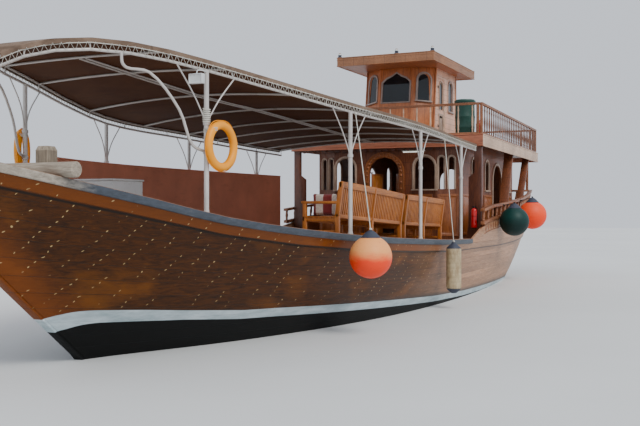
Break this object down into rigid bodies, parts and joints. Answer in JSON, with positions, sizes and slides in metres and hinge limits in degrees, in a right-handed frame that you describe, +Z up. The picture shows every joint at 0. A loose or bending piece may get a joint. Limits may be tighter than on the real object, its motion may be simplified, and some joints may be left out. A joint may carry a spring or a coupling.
{
  "type": "dhow passenger boat",
  "caption": "Wooden dhow passenger boat with a canvas awning over the fore deck, a carved deckhouse and a small wheelhouse on the upper deck.",
  "frame": {"origin": "middle of the hull on the waterline, on the centreline", "axes": "+X towards the bow, +Y to port, +Z up"},
  "size_m": [25.425, 6.5116, 8.082],
  "materials": {
    "bench_teak": "oiled",
    "bronze": "dull",
    "buoy_shell": "moulded",
    "canvas": "coated canvas",
    "carved_teak": "carved, varnished",
    "cream_rubber": "stained",
    "cushion_cloth": "woven cloth",
    "dark_wood": "varnished",
    "engine_iron": "painted",
    "green_rubber": "scuffed",
    "house_wood": "varnished",
    "orange_rubber": "scuffed",
    "pale_wood": "worn varnish and faded paint",
    "quarter_wood": "varnished",
    "rail_paint": "painted, faded",
    "red_paint": "gloss paint",
    "screen_paint": "painted boards",
    "tube_paint": "silver-grey paint",
    "varnished_hull": "varnished, worn",
    "weathered_wood": "bare, weathered",
    "white_paint": "semi-gloss paint"
  },
  "bodies": {
    "boat": {"hull": "varnished_hull", "keel_and_stem": "varnished_hull", "rail_cap_port": "rail_paint", "rail_cap_starboard": "rail_paint", "bow_log": "weathered_wood", "bitt_port": "weathered_wood", "bitt_starboard": "weathered_wood", "foredeck_locker": "white_paint", "quarter_side_port": "quarter_wood", "quarter_side_starboard": "quarter_wood", "stern_board": "quarter_wood", "deckhouse": "house_wood", "engine": "engine_iron", "pillar_port": "dark_wood", "pillar_starboard": "dark_wood", "quarter_post_port": "dark_wood", "quarter_post_starboard": "dark_wood", "corner_post_port": "dark_wood", "corner_post_starboard": "dark_wood", "upper_deck": "pale_wood", "upper_rail_port": "quarter_wood", "upper_rail_starboard": "quarter_wood", "upper_rail_front": "quarter_wood", "upper_rail_aft": "quarter_wood", "wheelhouse": "house_wood", "wheelhouse_roof": "pale_wood", "steering_stand": "dark_wood", "awning_frame_port": "tube_paint", "awning_frame_starboard": "tube_paint", "awning_bows": "tube_paint", "awning_canvas": "canvas", "side_screen": "screen_paint", "bench_port_fore": "bench_teak", "cushion_port_fore": "cushion_cloth", "bench_port_aft": "bench_teak", "cushion_port_aft": "cushion_cloth", "ball_fender_fore": "orange_rubber", "ball_fender_green": "green_rubber", "ball_fender_aft": "orange_rubber", "long_fender": "cream_rubber", "lifebuoy_port": "buoy_shell", "lifebuoy_starboard": "buoy_shell", "fire_extinguisher": "red_paint", "deck_drum": "green_rubber", "deck_box": "white_paint"},
    "rudder": {"rudder": "varnished_hull"},
    "helm": {"steering_wheel": "carved_teak"},
    "screw": {"propeller": "bronze"},
    "front_leaf_port": {"front_door_port": "carved_teak"},
    "front_leaf_starboard": {"front_door_starboard": "carved_teak"},
    "house_leaf_port": {"wheelhouse_door_port": "house_wood"},
    "house_leaf_starboard": {"wheelhouse_door_starboard": "house_wood"},
    "locker_lid": {"foredeck_locker_lid": "white_paint"},
    "hatch": {"engine_hatch": "dark_wood"}
  },
  "joints": [
    {"name": "rudder_turn", "type": "hinge", "parent": "boat", "child": "rudder", "pos_m": [-8.56, 0, -1], "axis": [0, 0, 1], "range_deg": [-35, 35]},
    {"name": "helm_turn", "type": "hinge", "parent": "boat", "child": "helm", "pos_m": [-4.89, 0, 5.1], "axis": [1, 0, 0], "range_deg": [-360, 360]},
    {"name": "propeller_spin", "type": "hinge", "parent": "boat", "child": "screw", "pos_m": [-7.76, 0, -1.13], "axis": [1, 0, 0], "continuous": true},
    {"name": "front_door_port_swing", "type": "hinge", "parent": "boat", "child": "front_leaf_port", "pos_m": [-3.495, 0.4, 2.3], "axis": [0, 0, 1], "range_deg": [-30, 60]},
    {"name": "front_door_starboard_swing", "type": "hinge", "parent": "boat", "child": "front_leaf_starboard", "pos_m": [-3.495, -0.4, 2.3], "axis": [0, 0, 1], "range_deg": [-60, 30]},
    {"name": "wheelhouse_door_port_swing", "type": "hinge", "parent": "boat", "child": "house_leaf_port", "pos_m": [-4.92, 1.0363, 5], "axis": [0, 0, 1], "range_deg": [-100, 0]},
    {"name": "wheelhouse_door_starboard_swing", "type": "hinge", "parent": "boat", "child": "house_leaf_starboard", "pos_m": [-4.92, -1.0363, 5], "axis": [0, 0, 1], "range_deg": [0, 100]},
    {"name": "locker_lid_swing", "type": "hinge", "parent": "boat", "child": "locker_lid", "pos_m": [7.6, -1, 2.6403], "axis": [0, 1, 0], "range_deg": [0, 100]},
    {"name": "engine_hatch_swing", "type": "hinge", "parent": "boat", "child": "hatch", "pos_m": [-5.5, -0.525, 1.4203], "axis": [1, 0, 0], "range_deg": [0, 90]}
  ],
  "couplings": [
    {"joint": "helm_turn", "follows": "rudder_turn", "ratio": 10.286}
  ]
}
